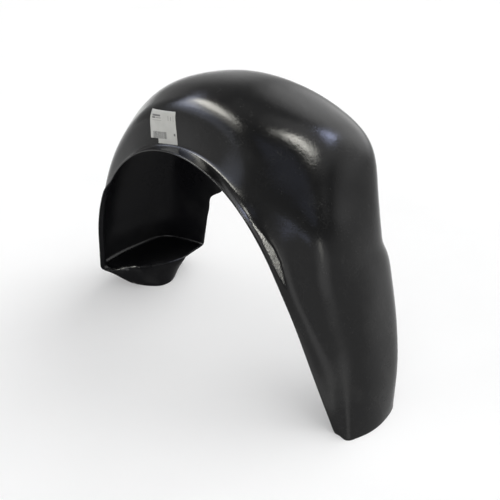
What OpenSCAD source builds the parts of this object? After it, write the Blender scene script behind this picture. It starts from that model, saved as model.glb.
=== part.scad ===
// Wheel arch liner for the left rear wheel of a small car: one thin moulded sheet
// that stands on its two ends, with a paper parts label stuck on its outboard wall.
// X runs from the far foot to the near leg, -Y is outboard (the open side), +Z is up.
// The origin is on the floor under the middle of the liner.

/* [Sheet] */
// Thickness of the moulded sheet
wall_t = 3; // [2:0.5:4]
// Height of the shelf in the far foot above the floor
shelf_z = 46; // [30:1:60]

/* [Arch] */
// Radius of the arch, to the root of the lip
arch_r = 320; // [290:5:350]
// Height of the arch's centre above the floor
arch_z = 115; // [95:5:135]
// Lean of the near leg from upright, in degrees
near_lean = 30; // [22:1:36]
// Lean of the far leg from upright, in degrees
far_lean = 2; // [0:1:6]

/* [Tread] */
// Height of the tread above the lip's root, at the crown
crown_h = 130; // [110:2:150]
// Height of the tread above the lip's root, at the far leg
far_h = 30; // [22:1:40]
// Height of the tread above the lip's root, at the near foot
near_h = 50; // [40:1:60]
// Depth of the arch from the lip's root to its inboard shoulder, at the crown
crown_w = 244; // [220:2:260]
// The same depth at the far leg
far_w = 208; // [190:2:225]
// The same depth at the near foot
near_w = 145; // [130:2:160]
// Width of the inboard wall below its shoulder, at the crown
skirt_h = 100; // [80:2:120]

/* [Lip] */
// Width of the lip down the far leg, below its notch
far_lip = 15; // [10:1:22]
// Width of the lip just above the notch
notch_lip = 5; // [4:0.5:8]
// Width of the lip at the hip of the near leg
hip_lip = 19; // [14:1:26]
// Where the notch sits, as an angle above the far leg in degrees
notch_at = 31; // [22:1:38]

/* [Label] */
// Width of the parts label
label_w = 74; // [60:1:80]
// Height of the parts label
label_h = 68; // [60:1:80]
// Thickness of the parts label
label_t = 0.4; // [0.3:0.1:0.8]
// Width of the torn corner
tear_w = 20; // [8:1:24]
// Height of the torn corner
tear_h = 11; // [6:1:24]
// Lean of the label from upright, in degrees
label_tilt = 8.5; // [0:0.5:15]
// Where the label's middle sits round the arch, in degrees
label_angle = 103.8; // [96:0.2:108]
// Height of the label's middle above the lip's root
label_rise = 41; // [38:0.5:50]

/* [Output] */
// Which piece is drawn

/* [Hidden] */
arc_deg = 180 - far_lean - near_lean;
notch_pos = 2 + (notch_at - far_lean) / arc_deg;

// Every size along the liner is keyed by its place: 1 is the top of the far foot,
// 2 the top of the far leg, 2 to 3 the arch, 3 the hip and 4 the near foot.
lip_y = [[1, notch_lip], [2.3, notch_lip], [2.6, 11], [2.9, hip_lip + 1], [3.05, hip_lip - 2],
         [3.3, 13], [3.7, 13], [4, 12]];
root_y = [[1, 0], [2.36, 0], [2.44, 4], [2.53, 18], [2.61, 17], [2.7, 10], [2.8, -2], [2.85, -2],
          [2.91, 5], [3, 10], [3.15, 8], [3.4, 14], [3.65, 16], [3.85, 4], [4, -10]];
root_h = [[1, 0], [2.3, 0], [2.45, 4], [2.55, 1], [2.7, 0], [2.9, 0], [3.15, 2], [3.4, 9],
          [3.65, 14], [3.85, 14], [4, 10]];
edge_y = [[1, 6], [2, 6], [2.15, 7], [2.3, 8], [2.45, 12], [2.52, 19], [2.6, 30], [2.69, 48],
          [2.75, 50], [2.81, 42], [2.87, 50], [2.91, 59], [2.95, 52], [3.05, 34], [3.35, 29],
          [3.6, 32], [3.8, 12], [4, -14]];
edge_h = [[1, 20], [2, 20], [2.15, 21], [2.3, 41], [2.45, 75], [2.6, 92], [2.69, 88],
          [2.75, 70], [2.81, 48], [2.87, 54], [2.91, 70], [2.95, 77], [3.05, 69], [3.35, 49],
          [3.6, 42], [4, 34]];
top_y = [[1, 108], [1.4, 70], [2, 70], [2.3, 96], [2.6, 116], [2.7, 120], [2.77, 130],
         [2.81, 136], [2.85, 128], [2.89, 115], [2.93, 107], [2.98, 108], [3.05, 110], [3.5, 88],
         [4, 56]];
top_h = [[1, far_h], [2, far_h + 12], [2.15, 0.56 * crown_h], [2.3, 0.8 * crown_h],
         [2.45, crown_h], [2.6, crown_h + 2], [2.7, 0.97 * crown_h], [2.81, 0.96 * crown_h],
         [2.85, 0.9 * crown_h], [2.89, 0.81 * crown_h], [2.93, 0.75 * crown_h], [3.05, 0.74 * crown_h],
         [3.25, 91],
         [3.5, 75], [3.75, 60], [4, near_h]];
in_y = [[1, far_w], [2, far_w - 6], [2.3, far_w + 8], [2.6, crown_w], [2.75, crown_w + 25],
        [2.84, crown_w + 28], [2.94, crown_w - 2], [3.02, crown_w - 14], [3.12, crown_w - 6],
        [3.25, crown_w - 12], [3.5, crown_w - 34], [3.75, near_w + 36], [4, near_w]];
in_h = [[1, far_h + 4], [2, far_h + 6], [2.15, 50], [2.3, 75], [2.45, 108], [2.6, 127], [2.75, 133],
        [2.84, 131], [2.93, 98], [3.02, 72], [3.12, 66], [3.25, 60], [3.5, 54], [3.75, 45], [4, 26]];
skirt = [[1, 112], [2, 132], [2.08, 143], [2.12, 147], [2.15, 155], [2.19, 173], [2.23, 186],
         [2.34, 160], [2.5, 1.2 * skirt_h], [2.8, skirt_h], [3.2, 0.8 * skirt_h],
         [3.6, 0.6 * skirt_h], [4, 0.4 * skirt_h]];
flare = [[1, 39], [2.05, 40], [2.15, 30], [2.3, 26], [2.6, 16], [3, 8], [4, 4]];
// How far each corner's rounding reaches along its sides
root_cut = [[1, 4], [2.2, 5], [2.45, 8], [2.6, 10], [2.8, 14], [2.88, 46], [3.06, 46], [3.25, 18], [3.6, 16],
            [4, 6]];
edge_cut = [[1, 9], [2, 10], [2.3, 18], [2.45, 24], [2.6, 36], [3, 36], [3.5, 26], [4, 18]];
in_cut = [[1, 26], [1.4, 60], [2, 62], [2.4, 50], [2.8, 60], [3.3, 50], [4, 40]];

// The far foot: a shelf in from the wall's base, then a toe down to the floor.
// Each key is the place across the sheet, from the lip 0 to the inboard edge 1.
bend_xyz = [[0, [-309, 12, 0.62 * shelf_z]], [0.05, [-306, 20, 0.76 * shelf_z]],
            [0.14, [-292, 36, 0.76 * shelf_z]], [0.2, [-271, 44, shelf_z]], [0.42, [-262, 84, shelf_z]],
            [0.62, [-246, 110, shelf_z]], [0.8, [-230, 134, shelf_z]], [1, [-225, 164, shelf_z]]];
toe_xyz = [[0, [-284, 46, 0]], [0.05, [-278, 50, 0]], [0.14, [-266, 54, 0]],
           [0.2, [-258, 57, 0]], [0.42, [-228, 84, 0]], [0.62, [-222, 106, 0]],
           [0.8, [-230, 132, 0]], [1, [-258, 166, 0]]];

function slope(keys, j) =
    let (a = max(j - 1, 0), b = min(j + 1, len(keys) - 1))
    (keys[b][1] - keys[a][1]) / (keys[b][0] - keys[a][0]);
function span_at(keys, x, i = 0) =
    i >= len(keys) - 2 || x <= keys[i + 1][0] ? i : span_at(keys, x, i + 1);
// A smooth curve through the keys
function curve(keys, x) =
    let (i = span_at(keys, x), p = keys[i], q = keys[i + 1],
         h = q[0] - p[0], u = (x - p[0]) / h)
    (1 - 3 * u ^ 2 + 2 * u ^ 3) * p[1] + (3 * u ^ 2 - 2 * u ^ 3) * q[1]
    + h * (u - 2 * u ^ 2 + u ^ 3) * slope(keys, i) + h * (u ^ 3 - u ^ 2) * slope(keys, i + 1);

// The n + 1 points that round corner b between a and c, each side cut back at most by cut
function rounded(a, b, c, cut, n) =
    let (p = b + (a - b) * min(cut / norm(a - b), 0.48),
         q = b + (c - b) * min(cut / norm(c - b), 0.48))
    [for (i = [0:n]) let (u = i / n) (1 - u) ^ 2 * p + 2 * u * (1 - u) * b + u ^ 2 * q];

// The foot of the section on the arch's line: x, z and the direction that its height takes
function base(s) =
    s < 2 ? let (p = base(2), z = shelf_z + (p[1] - shelf_z) * (s - 1))
            [p[0] - (p[1] - z) * tan(far_lean), z, 180 - far_lean * (s - 1)]
    : s <= 3 ? let (a = 180 - far_lean - arc_deg * (s - 2))
               [arch_r * cos(a), arch_z + arch_r * sin(a), a]
    : let (p = base(3)) [p[0] + p[1] * tan(near_lean) * (s - 3), p[1] * (4 - s), near_lean * (4 - s)];

function lip_at(s) = curve(lip_y, s) + (s < notch_pos ? far_lip - notch_lip : 0);
// The section of the sheet at one place, as [y, height] from the lip's edge to the skirt's
function section(s) =
    let (root = [curve(root_y, s), curve(root_h, s)], edge = [curve(edge_y, s), curve(edge_h, s)],
         top = [curve(top_y, s), curve(top_h, s)], inner = [curve(in_y, s), curve(in_h, s)],
         lip = [-lip_at(s), 0], end = inner + [curve(flare, s), -curve(skirt, s)])
    concat([lip], rounded(lip, root, edge, curve(root_cut, s), 3),
           rounded(root, edge, top, curve(edge_cut, s), 7), rounded(edge, top, inner, 90, 6),
           rounded(top, inner, end, curve(in_cut, s), 6), [inner * 0.5 + end * 0.5, end]);
function row_points(s) =
    let (b = base(s), c = cos(b[2]), d = sin(b[2]))
    [for (p = section(s)) [b[0] + p[1] * c, p[0], b[1] + p[1] * d]];

// Distance along a row of points, as a share of its whole length
function lengths(row) =
    [for (i = 0, t = 0; i < len(row); t = t + (i < len(row) - 1 ? norm(row[i + 1] - row[i]) : 0),
          i = i + 1) t];
far_row = row_points(1);
far_share = lengths(far_row) / lengths(far_row)[len(far_row) - 1];
far_up = row_points(1.25);
// One column of the far foot, from the toe up to the leg
function foot_column(j) =
    let (u = far_share[j], toe = curve(toe_xyz, u), bend = curve(bend_xyz, u))
    concat([toe], rounded(toe, bend, far_row[j], 12, 5),
           [bend * 0.67 + far_row[j] * 0.33, bend * 0.33 + far_row[j] * 0.67],
           rounded(bend, far_row[j], far_up[j], 12, 5), [far_row[j] * 0.35 + far_up[j] * 0.65]);
foot = [for (j = [0:len(far_row) - 1]) foot_column(j)];

// The whole sheet's outer face: rows from the toe to the near foot
face = concat([for (i = [0:len(foot[0]) - 1]) [for (c = foot) c[i]]],
              [for (i = [1:4]) row_points(1 + i / 4)], [for (i = [1:48]) row_points(2 + i / 48)],
              [for (i = [1:20]) row_points(3 + i / 20)]);
n_rows = len(face);
n_cols = len(face[0]);
function unit(v) = v / norm(v);
// Outward direction at each point, level with the floor where the sheet ends on it
outward = [for (i = [0:n_rows - 1]) [for (j = [0:n_cols - 1])
    let (a = face[min(i + 1, n_rows - 1)][j] - face[max(i - 1, 0)][j],
         b = face[i][min(j + 1, n_cols - 1)] - face[i][max(j - 1, 0)], n = cross(a, b))
    unit(i == 0 || i == n_rows - 1 ? [n[0], n[1], 0] : n)]];
function offset_face(d, i0 = 0, i1 = n_rows - 1, j0 = 0, j1 = n_cols - 1) =
    [for (i = [i0:i1]) [for (j = [j0:j1]) face[i][j] + d * outward[i][j]]];

inner_face = offset_face(-wall_t);
all_points = concat([for (r = face) each r], [for (r = inner_face) each r]);
x_mid = (max([for (p = all_points) p[0]]) + min([for (p = all_points) p[0]])) / 2;
y_mid = (max([for (p = all_points) p[1]]) + min([for (p = all_points) p[1]])) / 2;

// A closed sheet between two faces of the same grid
module sheet(outer, inner) {
    n = len(outer);
    m = len(outer[0]);
    k = n * m;
    quads = concat(
        [for (i = [0:n - 2]) for (j = [0:m - 2]) let (a = i * m + j) [a, a + 1, a + m + 1, a + m]],
        [for (i = [0:n - 2]) for (j = [0:m - 2]) let (a = k + i * m + j) [a, a + m, a + m + 1, a + 1]],
        [for (j = [0:m - 2]) [j + 1, j, k + j, k + j + 1]],
        [for (j = [0:m - 2]) let (a = (n - 1) * m + j) [a, a + 1, k + a + 1, k + a]],
        [for (i = [0:n - 2]) let (a = i * m) [a, a + m, k + a + m, k + a]],
        [for (i = [0:n - 2]) let (a = i * m + m - 1) [a + m, a, k + a, k + a + m]]);
    polyhedron(concat([for (r = outer) each r], [for (r = inner) each r]),
               [for (q = quads) each [[q[0], q[1], q[2]], [q[0], q[2], q[3]]]]);
}

module liner() {
    color([0.12, 0.12, 0.13]) sheet(face, inner_face);
}

// The label's outline as seen from outboard, with its lower corner torn away
module label_outline() {
    difference() {
        square([label_w, label_h], center = true);
        translate([-label_w / 2 - 1, -label_h / 2 - 1]) square([tear_w + 1, tear_h + 1]);
    }
}

// Rows and columns of the sheet that the label lies on
label_rows = [36, 49];
label_cols = [3, 17];
label_r = arch_r + label_rise;
module label() {
    color([0.93, 0.93, 0.9]) intersection() {
        sheet(offset_face(0.1 + label_t, label_rows[0], label_rows[1], label_cols[0], label_cols[1]),
              offset_face(0.1, label_rows[0], label_rows[1], label_cols[0], label_cols[1]));
        translate([label_r * cos(label_angle), 0, arch_z + label_r * sin(label_angle)])
            rotate([90, -label_tilt, 0]) linear_extrude(2 * label_w, center = true) label_outline();
    }
}

translate([-x_mid, -y_mid, 0]) {
    liner();
    label();
}
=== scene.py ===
import math

import bmesh
import bpy
from mathutils import Matrix, Vector
from mathutils.bvhtree import BVHTree
from mathutils.kdtree import KDTree


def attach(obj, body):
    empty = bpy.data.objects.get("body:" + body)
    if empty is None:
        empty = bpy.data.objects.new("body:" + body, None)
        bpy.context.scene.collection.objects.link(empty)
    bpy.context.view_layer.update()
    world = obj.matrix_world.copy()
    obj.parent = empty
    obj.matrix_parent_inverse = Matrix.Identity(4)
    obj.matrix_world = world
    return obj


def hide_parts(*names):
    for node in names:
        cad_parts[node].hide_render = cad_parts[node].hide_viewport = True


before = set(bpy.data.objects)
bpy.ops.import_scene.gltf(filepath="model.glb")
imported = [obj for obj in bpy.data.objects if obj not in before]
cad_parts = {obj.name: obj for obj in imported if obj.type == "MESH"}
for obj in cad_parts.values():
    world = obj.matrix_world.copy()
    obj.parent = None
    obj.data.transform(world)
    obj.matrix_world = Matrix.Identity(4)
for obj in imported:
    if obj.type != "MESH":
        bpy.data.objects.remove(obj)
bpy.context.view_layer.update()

# Lengths are in metres and angles in degrees. +X runs from the far foot to the near leg, -Y is outboard and +Z is
# up. An azimuth is 0 towards -Y and 90 towards +X.

scene = bpy.context.scene
scene.view_settings.view_transform = "Standard"


def direction(azimuth, elevation):
    a, e = math.radians(azimuth), math.radians(elevation)
    return Vector((math.sin(a) * math.cos(e), -math.cos(a) * math.cos(e), math.sin(e)))


def step(value, low, high):
    """0 below low, 1 above high, soft between."""
    part = min(1.0, max(0.0, (value - low) / (high - low)))
    return part * part * (3 - 2 * part)


# Camera, from the near leg's outboard side and above
CAMERA_TARGET = Vector((0.0144, -0.0253, 0.210))
CAMERA_AZIMUTH, CAMERA_ELEVATION = 46.8, 28.5
CAMERA_DISTANCE = 1.92

camera = bpy.data.objects.new("camera", bpy.data.cameras.new("camera"))
scene.collection.objects.link(camera)
scene.camera = camera
camera.data.lens = 65.0
camera.data.sensor_width = 36.0
camera.location = CAMERA_TARGET + direction(CAMERA_AZIMUTH, CAMERA_ELEVATION) * CAMERA_DISTANCE
camera.rotation_euler = (CAMERA_TARGET - camera.location).to_track_quat("-Z", "Y").to_euler()


class Nodes:
    """Short calls for building the node tree of a material or a world."""

    def __init__(self, owner):
        owner.use_nodes = True
        self.owner = owner
        self.tree = owner.node_tree
        self.tree.nodes.clear()
        self.coords = self.add("ShaderNodeTexCoord").outputs

    def add(self, kind, **settings):
        node = self.tree.nodes.new(kind)
        for key, value in settings.items():
            setattr(node, key, value)
        return node

    def link(self, source, socket):
        self.tree.links.new(source, socket)

    def put(self, node, **values):
        """Sets sockets by their names, written with _ for a space, to numbers or to other sockets."""
        for name, value in values.items():
            socket = node.inputs[name.replace("_", " ")]
            if isinstance(value, bpy.types.NodeSocket):
                self.link(value, socket)
            else:
                socket.default_value = value

    def split(self, vector):
        node = self.add("ShaderNodeSeparateXYZ")
        self.link(vector, node.inputs["Vector"])
        return node.outputs

    def mapped(self, scale, rotation):
        node = self.add("ShaderNodeMapping")
        self.put(node, Vector=self.coords["Object"], Scale=scale, Rotation=rotation)
        return node.outputs["Vector"]

    def noise(self, scale, detail, vector=None, rough=0.5):
        node = self.add("ShaderNodeTexNoise")
        self.put(node, Vector=vector or self.coords["Object"], Scale=scale, Detail=detail, Roughness=rough)
        return node.outputs["Fac"]

    def spots(self, scale, vector=None, feature="F1"):
        node = self.add("ShaderNodeTexVoronoi", feature=feature)
        self.put(node, Vector=vector or self.coords["Object"], Scale=scale)
        return node.outputs["Distance"]

    def ramp(self, value, low, high, to_low=0.0, to_high=1.0):
        node = self.add("ShaderNodeMapRange", clamp=True, interpolation_type="SMOOTHSTEP")
        self.put(node, Value=value, From_Min=low, From_Max=high, To_Min=to_low, To_Max=to_high)
        return node.outputs["Result"]

    def math(self, operation, *values):
        node = self.add("ShaderNodeMath", operation=operation)
        for socket, value in zip(node.inputs, values):
            if isinstance(value, bpy.types.NodeSocket):
                self.link(value, socket)
            else:
                socket.default_value = value
        return node.outputs["Value"]

    def product(self, first, *others):
        for other in others:
            first = self.math("MULTIPLY", first, other)
        return first

    def total(self, first, *parts):
        """first plus value * amount for each (value, amount) of parts."""
        for value, amount in parts:
            first = self.math("ADD", first, self.math("MULTIPLY", value, amount))
        return first

    def mix(self, factor, a, b, kind="RGBA"):
        node = self.add("ShaderNodeMix", data_type=kind)
        self.put(node, Factor=factor, A=a, B=b)
        return node.outputs["Result"]

    def bumps(self, *layers):
        """Bump layers one on the other, each (height, distance, strength)."""
        normal = None
        for height, distance, strength in layers:
            node = self.add("ShaderNodeBump")
            self.put(node, Height=height, Distance=distance, Strength=strength)
            if normal is not None:
                self.link(normal, node.inputs["Normal"])
            normal = node.outputs["Normal"]
        return normal

    def seen_directly(self):
        """1 for what the camera, a mirror or glass sees, 0 for the light that reaches the object."""
        rays = self.add("ShaderNodeLightPath").outputs
        seen = self.math("MAXIMUM", rays["Is Camera Ray"], rays["Is Glossy Ray"])
        return self.math("MAXIMUM", seen, rays["Is Transmission Ray"])

    def finish(self, shader, output="ShaderNodeOutputMaterial"):
        self.link(shader, self.add(output).inputs["Surface"])
        return self.owner

    def principled(self, **values):
        shader = self.add("ShaderNodeBsdfPrincipled")
        self.put(shader, **values)
        return self.finish(shader.outputs["BSDF"])


# Materials
PLASTIC_IOR = 1.34
# How much of the pale colour each kind of wear brings
DUST, SCUFFS, SCRATCHES, SPECKS = 0.36, 0.40, 0.70, 0.60
# What handling of the lower legs, fine dust and wear add to the roughness
LOW_ROUGH, DUST_ROUGH, WEAR_ROUGH = 0.12, 0.03, 0.18


def black_plastic(name, clean, worn, gloss, specular):
    """Black moulded sheet; gloss is the least and most roughness of the clean surface."""
    n = Nodes(bpy.data.materials.new(name))
    # Handling dulls the lower legs; the crown keeps its gloss
    low = n.ramp(n.split(n.coords["Object"])["Z"], 0.06, 0.36, 1.0, 0.0)
    cloud = n.noise(9, 4, rough=0.6)
    dust = n.product(n.ramp(cloud, 0.42, 0.72), n.total(0.5, (low, 0.75)))
    fine_dust = n.ramp(n.noise(420, 2), 0.55, 0.75)
    specks = n.product(n.ramp(n.spots(150), 0.10, 0.22, 1.0, 0.0), n.ramp(n.noise(23, 3), 0.50, 0.62))
    streaks = n.noise(6, 5, n.mapped((9, 9, 1.2), (0.0, 0.35, 0.0)), rough=0.7)
    scuffs = n.product(n.ramp(streaks, 0.60, 0.74), n.ramp(cloud, 0.40, 0.62))
    steep = n.spots(15, n.mapped((7, 7, 0.35), (0.0, 0.42, 0.2)), "DISTANCE_TO_EDGE")
    level = n.spots(11, n.mapped((0.5, 6, 6), (0.3, 0.9, 0.0)), "DISTANCE_TO_EDGE")
    scratches = n.math("MAXIMUM", n.ramp(steep, 0.0, 0.010, 1.0, 0.0), n.ramp(level, 0.0, 0.007, 1.0, 0.0))
    scratches = n.product(scratches, n.ramp(n.noise(14, 2), 0.50, 0.60))
    wear = n.total(0.0, (dust, DUST), (scuffs, SCUFFS), (scratches, SCRATCHES), (specks, SPECKS))
    rough = n.total(n.ramp(cloud, 0.3, 0.7, *gloss), (low, LOW_ROUGH), (fine_dust, DUST_ROUGH), (wear, WEAR_ROUGH))
    normal = n.bumps(
        (n.noise(16, 2), 0.0045, 0.10),                 # the sheet's soft waves
        (n.noise(55, 2), 0.0012, 0.10),
        (n.noise(300, 2, rough=0.6), 0.0006, 0.34),     # its grain
        (n.noise(800, 1), 0.0002, 0.30),
        (n.ramp(n.spots(17), 0.012, 0.030), 0.0008, 0.6))     # a few pits
    return n.principled(Base_Color=n.mix(wear, clean, worn), Roughness=rough, Normal=normal, IOR=PLASTIC_IOR,
                        Specular_IOR_Level=specular)


# The label's plain bars and lines where the real one has print: (u from, u to, v from, v to, strength)
BARCODE = (0.10, 0.60, 0.15, 0.36, 0.75)
PRINT = (
    (0.08, 0.40, 0.820, 0.870, 0.80),
    (0.08, 0.20, 0.760, 0.800, 0.85),
    (0.22, 0.42, 0.765, 0.790, 0.55),
    (0.10, 0.44, 0.695, 0.710, 0.35),
    (0.70, 0.73, 0.720, 0.860, 0.35),
    (0.80, 0.83, 0.720, 0.840, 0.42),
    (0.90, 0.92, 0.700, 0.880, 0.28),
    (0.88, 0.94, 0.270, 0.340, 0.80),
)
PRINT_EDGE = 0.004


def paper():
    n = Nodes(bpy.data.materials.new("label_paper_painted_shade"))
    uv = n.split(n.coords["UV"])

    def within(value, low, high):
        return n.product(n.ramp(value, low - PRINT_EDGE, low), n.ramp(value, high, high + PRINT_EDGE, 1.0, 0.0))

    def printed(u0, u1, v0, v1, strength):
        return n.product(within(uv["X"], u0, u1), within(uv["Y"], v0, v1), strength)

    row = n.add("ShaderNodeCombineXYZ")
    n.put(row, X=uv["X"], Y=3.0)
    bars = n.ramp(n.noise(120, 1, row.outputs["Vector"], rough=1.0), 0.46, 0.48)
    ink = n.product(printed(*BARCODE), bars)
    for patch in PRINT:
        ink = n.math("MAXIMUM", ink, printed(*patch))
    cloud = n.noise(60, 3)
    # The paper is coloured a mid grey rather than white: painted shade, standing in for the shade the white label
    # lies in.
    sheet = n.mix(n.ramp(cloud, 0.3, 0.7), (0.50, 0.50, 0.47, 1), (0.54, 0.54, 0.51, 1))
    return n.principled(Base_Color=n.mix(ink, sheet, (0.04, 0.04, 0.045, 1)),
                        Roughness=n.ramp(cloud, 0.3, 0.7, 0.42, 0.55),
                        Normal=n.bumps((n.noise(45, 2), 0.0010, 0.25), (n.noise(700, 2), 0.0001, 0.2)))


# The sheet
JOIN_FACES, JOIN_SHAPES = 50, 60            # triangles of the CAD mesh flatter than this are joined
CREASE_ANGLE, CREASE = 62, 0.55             # sharper edges stay partly sharp
SMOOTH_LEVELS = 2
FAR_FOOT_X, FAR_FOOT_TOP = -0.20, 0.075     # the far foot lies beyond and below these
NEAR_LEG_X, NEAR_LEG_Z = (0.20, 0.25), (0.34, 0.40)     # the near leg begins over the one and ends over the other
FAR_EASE, NEAR_EASE = 0.008, 0.018          # how far the corners' shading is eased, at the far foot and near leg
WHEEL = Vector((0, 0, 0.15))                # a point inside the arch
OTHER_SIDE = -0.3                           # normals whose product is below this are on the sheet's two sides
OUTSIDE, INSIDE, RUBBED = 0, 1, 2           # the sheet's material indices
BENDS_LOW, BENDS_HIGH = 0.036, 0.064        # the far foot's rubbed bends lie between these heights
TOE_X, TOE_TOP = -0.345, 0.0495             # the bend down to its toe lies inside and below these
TOE_SLOPES, SHELF_SLOPES = (0.70, 0.86), (0.20, 0.95)   # how much a rubbed face of each bend looks up

# The folded-over strip of the lip at the hip: (place, half width), and the way it faces
FOLD = [((0.1371, -0.1400, 0.3670), 0.001), ((0.1498, -0.1409, 0.3567), 0.0025), ((0.1700, -0.1380, 0.3385), 0.006),
        ((0.1870, -0.1365, 0.3190), 0.010), ((0.2030, -0.1360, 0.2975), 0.011), ((0.2156, -0.1359, 0.2785), 0.007),
        ((0.2290, -0.1340, 0.2560), 0.002)]
FOLD_FACES = Vector((0.517, -0.386, 0.763))
FOLD_SOLID, FOLD_ENDS = 0.6, 1.2            # it fades out between these parts of its half width
FOLD_SIDE = 0.3                             # only what faces at least so much its way belongs to it


def eased_normals(mesh, normals, reach, share):
    """Normals averaged by area over what lies within reach, in the share asked for at each place."""
    areas = [0.0] * len(mesh.vertices)
    for polygon in mesh.polygons:
        for i in polygon.vertices:
            areas[i] += polygon.area
    near = KDTree(len(mesh.vertices))
    for vertex in mesh.vertices:
        near.insert(vertex.co, vertex.index)
    near.balance()
    eased = list(normals)
    for vertex in mesh.vertices:
        part = share(vertex.co)
        if part <= 0:
            continue
        own, total = normals[vertex.index], Vector()
        for _, i, distance in near.find_range(vertex.co, reach):
            if normals[i].dot(own) > OTHER_SIDE:
                total += normals[i] * (areas[i] * (1 - (distance / reach) ** 2))
        eased[vertex.index] = own.lerp(total.normalized(), part).normalized()
    return eased


def at_far_foot(place):
    return 1.0 if place.x < FAR_FOOT_X and place.z < FAR_FOOT_TOP else 0.0


def at_near_leg(place):
    return step(place.x, *NEAR_LEG_X) * (1.0 - step(place.z, *NEAR_LEG_Z))


def at_fold(place):
    """How far a place of the lip belongs to the fold, from 0 to 1."""
    best = 0.0
    for (a, half_a), (b, half_b) in zip(FOLD, FOLD[1:]):
        a, b = Vector(a), Vector(b)
        along = b - a
        u = min(1.0, max(0.0, (place - a).dot(along) / along.length_squared))
        half = half_a + (half_b - half_a) * u
        best = max(best, 1.0 - step((place - a - along * u).length, half * FOLD_SOLID, half * FOLD_ENDS))
    return best


def sheet_side(polygon, normals):
    """The material index of one face: the side towards the wheel is duller, and its far foot's bends are rubbed."""
    if polygon.normal.dot(WHEEL - polygon.center) <= 0:
        return OUTSIDE
    x, _, z = polygon.center
    if not (x < FAR_FOOT_X and BENDS_LOW < z < BENDS_HIGH):
        return INSIDE
    slope = sum(normals[i].z for i in polygon.vertices) / len(polygon.vertices)
    low, high = TOE_SLOPES if x > TOE_X and z < TOE_TOP else SHELF_SLOPES
    return RUBBED if low < slope < high else INSIDE


def smooth_sheet(node, materials):
    """The CAD sheet's own shape with its facets smoothed and its cut edges eased."""
    mesh = node.data.copy()
    bm = bmesh.new()
    bm.from_mesh(mesh)
    bmesh.ops.remove_doubles(bm, verts=bm.verts, dist=1e-6)
    bmesh.ops.join_triangles(bm, faces=bm.faces, angle_face_threshold=math.radians(JOIN_FACES),
                             angle_shape_threshold=math.radians(JOIN_SHAPES))
    crease = bm.edges.layers.float.new("crease_edge")
    for edge in bm.edges:
        if len(edge.link_faces) == 2 and edge.calc_face_angle(0) > math.radians(CREASE_ANGLE):
            edge[crease] = CREASE
    bm.to_mesh(mesh)
    bm.free()
    mesh.name = "liner_sheet"
    piece = bpy.data.objects.new("liner_sheet", mesh)
    scene.collection.objects.link(piece)
    smoother = piece.modifiers.new("smooth", "SUBSURF")
    smoother.levels = smoother.render_levels = SMOOTH_LEVELS
    graph = bpy.context.evaluated_depsgraph_get()
    smooth = bpy.data.meshes.new_from_object(piece.evaluated_get(graph))
    piece.modifiers.clear()
    piece.data = smooth

    # The corners of the far foot and the near leg are shaded rounder than the plain sheet has them
    normals = [vertex.normal.copy() for vertex in smooth.vertices]
    normals = eased_normals(smooth, normals, FAR_EASE, at_far_foot)
    normals = eased_normals(smooth, normals, NEAR_EASE, at_near_leg)
    # Clearing the materials sets every index to 0, so they come before the faces' own
    smooth.materials.clear()
    for material in materials:
        smooth.materials.append(material)
    for polygon in smooth.polygons:
        polygon.use_smooth = True
        polygon.material_index = sheet_side(polygon, normals)
    for vertex in smooth.vertices:
        part, normal = at_fold(vertex.co), normals[vertex.index]
        if part > 0 and normal.dot(FOLD_FACES) > FOLD_SIDE:
            normals[vertex.index] = normal.lerp(FOLD_FACES, part).normalized()
    smooth.normals_split_custom_set_from_vertices(normals)
    return piece


# The label: its middle (x, z) on the outboard wall, its size and tilt, and the corner torn off it
LABEL_MIDDLE = (-0.1467, 0.4656)
LABEL_WIDTH, LABEL_HEIGHT, LABEL_TILT = 0.074, 0.068, 8.5
LABEL_TEAR = (0.020, 0.011)
LABEL_CELLS = (36, 34)
LABEL_BACK, LABEL_FRONT = 0.00015, 0.00045      # off the sheet
LABEL_LIFT, LABEL_LIFTED = 0.0004, 0.12         # how far its left edge stands off more, and over how much of it


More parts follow.
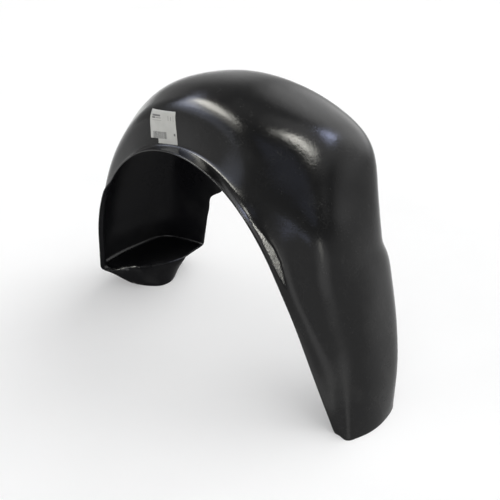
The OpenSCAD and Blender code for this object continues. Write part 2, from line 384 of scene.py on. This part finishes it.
def stuck_label(sheet):
    """A paper label laid on the outboard wall, with its lower corner torn away."""
    tree = BVHTree.FromObject(sheet, bpy.context.evaluated_depsgraph_get())
    across, up = LABEL_CELLS
    tilt = math.radians(LABEL_TILT)
    bm = bmesh.new()
    uv_layer = bm.loops.layers.uv.new("label")
    front, back, place = {}, {}, {}
    for i in range(across + 1):
        for j in range(up + 1):
            u, v = i / across, j / up
            a, b = (u - 0.5) * LABEL_WIDTH, (v - 0.5) * LABEL_HEIGHT
            x = LABEL_MIDDLE[0] + a * math.cos(tilt) - b * math.sin(tilt)
            z = LABEL_MIDDLE[1] + a * math.sin(tilt) + b * math.cos(tilt)
            hit, normal, _, _ = tree.ray_cast(Vector((x, -1.0, z)), Vector((0, 1, 0)))
            off = LABEL_FRONT + LABEL_LIFT * max(0.0, LABEL_LIFTED - u) / LABEL_LIFTED
            front[i, j] = bm.verts.new(hit + normal * off)
            back[i, j] = bm.verts.new(hit + normal * LABEL_BACK)
            place[i, j] = (u, v)
    torn_i = round(LABEL_TEAR[0] / LABEL_WIDTH * across)
    torn_j = round(LABEL_TEAR[1] / LABEL_HEIGHT * up)
    cells = {(i, j) for i in range(across) for j in range(up) if not (i < torn_i and j < torn_j)}

    def face(corners, keys):
        made = bm.faces.new(corners)
        made.smooth = True
        for loop, key in zip(made.loops, keys):
            loop[uv_layer].uv = place[key]

    for i, j in cells:
        keys = [(i, j), (i + 1, j), (i + 1, j + 1), (i, j + 1)]
        face([front[k] for k in keys], keys)
        face([back[k] for k in reversed(keys)], list(reversed(keys)))
        for side, (di, dj) in enumerate(((0, -1), (1, 0), (0, 1), (-1, 0))):
            if (i + di, j + dj) not in cells:
                p, q = keys[side], keys[(side + 1) % 4]
                face([front[q], front[p], back[p], back[q]], [q, p, p, q])
    bmesh.ops.delete(bm, geom=[v for v in bm.verts if not v.link_faces], context="VERTS")
    bmesh.ops.recalc_face_normals(bm, faces=bm.faces)
    mesh = bpy.data.meshes.new("parts_label")
    bm.to_mesh(mesh)
    bm.free()
    piece = bpy.data.objects.new("parts_label", mesh)
    scene.collection.objects.link(piece)
    return piece


liner = smooth_sheet(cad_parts["liner"], (
    black_plastic("black_moulded_plastic", clean=(0.0026, 0.0026, 0.0028, 1), worn=(0.026, 0.026, 0.025, 1),
                  gloss=(0.10, 0.145), specular=0.5),
    black_plastic("black_plastic_inside", clean=(0.0052, 0.0052, 0.0062, 1), worn=(0.014, 0.014, 0.014, 1),
                  gloss=(0.20, 0.28), specular=0.17),
    black_plastic("black_plastic_rubbed", clean=(0.0034, 0.0034, 0.0042, 1), worn=(0.010, 0.010, 0.010, 1),
                  gloss=(0.10, 0.14), specular=1.0)))
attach(liner, "root")
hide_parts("liner")

label = stuck_label(liner)
label.data.materials.append(paper())
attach(label, "root")
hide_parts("label")


# Floor and backdrop
FLOOR_REACH = 12.0
FLOOR_SEEN = 0.20                           # what the floor glows for the camera and for gloss
LIGHT_LEVEL, SEEN_LEVEL = 0.85, 1.0         # the backdrop as light, and as gloss shows it
CEILING_LEVEL = 0.40                        # the share of it that the ceiling keeps
CEILING_BEGINS, CEILING_FULL = 0.35, 0.75   # the heights of a direction between which it turns into the ceiling

# Soft round regions of the backdrop: (azimuth, elevation, radius, what is added to its level)
REGIONS = (
    (180, 37, 37, 3.3),
    (138, 44, 26, 1.0),
    (105, 72, 24, 1.2),
    (45, 14, 26, 1.0),
    (-90, 2, 50, -0.5),
    (0, 90, 30, 0.25),
)


def floor():
    n = Nodes(bpy.data.materials.new("pale_floor"))
    colour = n.mix(n.ramp(n.noise(3, 3), 0.3, 0.7), (0.74, 0.74, 0.74, 1), (0.76, 0.76, 0.76, 1))
    material = n.principled(Base_Color=colour, Roughness=0.9, Specular_IOR_Level=0.2, Emission_Color=(1, 1, 1, 1),
                            Emission_Strength=n.product(n.seen_directly(), FLOOR_SEEN))
    mesh = bpy.data.meshes.new("floor")
    corners = [(x * FLOOR_REACH, y * FLOOR_REACH, 0) for x, y in ((-1, -1), (1, -1), (1, 1), (-1, 1))]
    mesh.from_pydata(corners, [], [(0, 1, 2, 3)])
    mesh.materials.append(material)
    piece = bpy.data.objects.new("floor", mesh)
    scene.collection.objects.link(piece)


def backdrop():
    """White for the camera, and a room with a dimmer ceiling and pale regions for the light and for gloss."""
    n = Nodes(bpy.data.worlds.new("backdrop"))
    way = n.coords["Generated"]
    ceiling = n.ramp(n.split(way)["Z"], CEILING_BEGINS, CEILING_FULL, 1.0, CEILING_LEVEL)
    level = n.product(n.ramp(n.seen_directly(), 0.0, 1.0, LIGHT_LEVEL, SEEN_LEVEL), ceiling)
    for azimuth, elevation, radius, amount in REGIONS:
        dot = n.add("ShaderNodeVectorMath", operation="DOT_PRODUCT")
        n.link(way, dot.inputs[0])
        dot.inputs[1].default_value = direction(azimuth, elevation)
        region = n.ramp(dot.outputs["Value"], math.cos(math.radians(radius)), 1.0, 0.0, amount)
        level = n.math("ADD", level, region)
    camera_sees = n.add("ShaderNodeLightPath").outputs["Is Camera Ray"]
    background = n.add("ShaderNodeBackground")
    n.put(background, Color=(1, 1, 1, 1), Strength=n.mix(camera_sees, level, 1.0, "FLOAT"))
    scene.world = n.finish(background.outputs["Background"], "ShaderNodeOutputWorld")


floor()
backdrop()


# Ceiling tubes and windows, each where the photo's highlights ask for it. What they light: the crown, the bulge
# over the near leg, that bulge's far corner and face, the low wall beside the lip, and the near leg.
CEILING_HEIGHT = 2.6
LAMP_DISTANCE = 2.6                         # of the lamps that don't hang on the ceiling, from their aims
CROWN, BULGE, CORNER = Vector((0.0, -0.07, 0.53)), Vector((0.14, -0.03, 0.49)), Vector((0.17, 0.04, 0.49))
FACE, WALL, LEG = Vector((0.16, -0.05, 0.44)), Vector((0.20, -0.098, 0.356)), Vector((0.27, -0.08, 0.33))
WARM, COLD, PALE_BLUE = (1.0, 0.99, 0.91), (0.62, 0.69, 1.0), (0.74, 0.80, 1.0)


def on_ceiling(x, y):
    return Vector((x, y, CEILING_HEIGHT))


def beyond(aim, azimuth, elevation):
    return aim + direction(azimuth, elevation) * LAMP_DISTANCE


# Name, place, aim, (length, width), plan angle of its length from +X, radiance, colour, and whether it lights by
# gloss alone
LAMPS = (
    ("tube_left", on_ceiling(-1.27, -0.98), CROWN, (2.3, 0.62), 143, 14.0, WARM, True),
    ("tube_left_glow", on_ceiling(-1.35, -1.40), CROWN, (2.7, 1.2), 143, 3.0, WARM, True),
    ("tube_top", on_ceiling(0.80, -0.44), BULGE, (0.60, 0.20), 63, 32, WARM, True),
    ("tube_top_glow", on_ceiling(0.78, -0.44), BULGE, (0.90, 0.32), 63, 5.0, WARM, True),
    ("window_back", on_ceiling(0.77, 0.96), CORNER, (0.36, 0.28), 115, 15, COLD, True),
    ("window_back_glow", on_ceiling(0.79, 0.94), CORNER, (0.70, 0.56), 115, 3.4, COLD, True),
    ("window_far", beyond(FACE, 24, 52), FACE, (0.8, 0.5), 24, 0.5, COLD, False),
    ("window_left", on_ceiling(-2.55, -0.85), CROWN, (2.6, 0.75), 92, 3.8, PALE_BLUE, True),
    ("window_left_glow", on_ceiling(-2.45, -1.95), CROWN, (2.8, 1.3), -55, 1.8, PALE_BLUE, True),
    ("window_left_haze", on_ceiling(-2.30, -2.90), CROWN, (3.2, 2.2), -45, 1.0, PALE_BLUE, True),
    ("window_low", beyond(WALL, 10, 27), WALL, (0.55, 0.30), 10, 2.0, COLD, True),
    ("door", beyond(LEG, 42, 28), LEG, (0.40, 0.55), 42, 3.0, WARM, True),
)


def lamp(name, place, aim, size, plan_angle, radiance, colour, glossy_only):
    """An oval area lamp at a place, facing a point, its long side along a plan direction."""
    data = bpy.data.lights.new(name, "AREA")
    data.shape = "ELLIPSE"
    data.size, data.size_y = size
    data.energy = radiance * math.pi * size[0] * size[1]
    data.color = colour
    piece = bpy.data.objects.new(name, data)
    scene.collection.objects.link(piece)
    back = (place - aim).normalized()
    turn = math.radians(plan_angle)
    along = Vector((math.cos(turn), math.sin(turn), 0))
    along = (along - back * along.dot(back)).normalized()
    turned = Matrix((along, back.cross(along), back)).transposed()
    piece.matrix_world = Matrix.Translation(place) @ turned.to_4x4()
    piece.visible_diffuse = not glossy_only


for row in LAMPS:
    lamp(*row)
